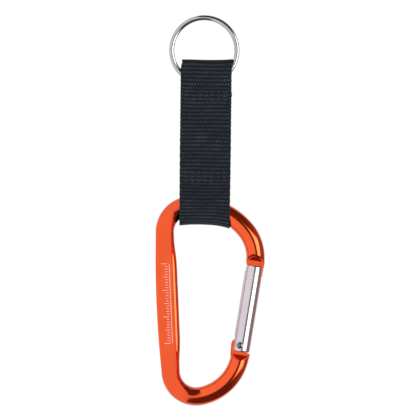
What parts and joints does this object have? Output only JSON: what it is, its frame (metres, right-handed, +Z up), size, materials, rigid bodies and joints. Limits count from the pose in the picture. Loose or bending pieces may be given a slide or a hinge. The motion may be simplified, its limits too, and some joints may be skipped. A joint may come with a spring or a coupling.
{
  "type": "carabiner keyring",
  "caption": "Small snap carabiner with a sprung gate, on a sewn webbing strap with a split ring.",
  "frame": {"origin": "centre of the split ring's eye, from which the keyring hangs", "axes": "+Z up along the hanging strap, +X across the strap towards the gate, -Y towards the front face"},
  "size_m": [0.0412, 0.0092, 0.1472],
  "materials": {
    "nickel": "nickel-plated spring steel, polished",
    "webbing": "dark navy nylon webbing, ribbed weave",
    "thread": "dark navy sewing thread",
    "orange_anodised": "orange anodised, bright satin",
    "clear_anodised": "clear anodised, bright satin",
    "rivet_steel": "domed, dark satin",
    "pin_steel": "turned, plain",
    "spring_steel": "drawn wire"
  },
  "bodies": {
    "ring": {"split_ring": "nickel"},
    "strap_upper": {"webbing_ring_loop": "webbing", "ring_stitching": "thread"},
    "strap_middle": {"webbing_flex_upper": "webbing", "webbing_middle": "webbing", "webbing_flex_lower": "webbing"},
    "strap_lower": {"webbing_bar_loop": "webbing", "bar_stitching": "thread"},
    "carabiner": {"carabiner_frame": "orange_anodised"},
    "gate_arm": {"gate": "clear_anodised", "gate_rivet": "rivet_steel", "gate_spring": "spring_steel"},
    "plunger": {"gate_plunger": "pin_steel"}
  },
  "joints": [
    {"name": "ring_spin", "type": "hinge", "parent": "ring", "child": "strap_upper", "pos_m": [0, 0, 0], "axis": [0, 1, 0], "continuous": true},
    {"name": "upper_flex", "type": "hinge", "parent": "strap_upper", "child": "strap_middle", "pos_m": [0.00054, 0, -0.024], "axis": [0.9999, 0, -0.011], "range_deg": [-90, 90], "deforming": ["webbing_flex_upper"]},
    {"name": "lower_flex", "type": "hinge", "parent": "strap_middle", "child": "strap_lower", "pos_m": [0.00038, 0, -0.0385], "axis": [0.9999, 0, -0.011], "range_deg": [-90, 90], "deforming": ["webbing_flex_lower"]},
    {"name": "bar_slide", "type": "hinge", "parent": "strap_lower", "child": "carabiner", "pos_m": [-0.00414, 0, -0.08395], "axis": [0, 1, 0], "range_deg": [-12, 5], "deforming": ["webbing_bar_loop"]},
    {"name": "gate_swing", "type": "hinge", "parent": "carabiner", "child": "gate_arm", "pos_m": [0.01338, 0, -0.11109], "axis": [0, -1, 0], "range_deg": [0, 30], "stiffness_Nm_per_rad": 0.05, "springref_deg": -34.38},
    {"name": "plunger_slide", "type": "slide", "parent": "gate_arm", "child": "plunger", "axis": [0.1616, 0, 0.9869], "range_m": [0, 0.00045], "deforming": ["gate_spring"]}
  ],
  "couplings": [
    {"joint": "plunger_slide", "follows": "gate_swing", "m_per_rad": 0.0008}
  ]
}
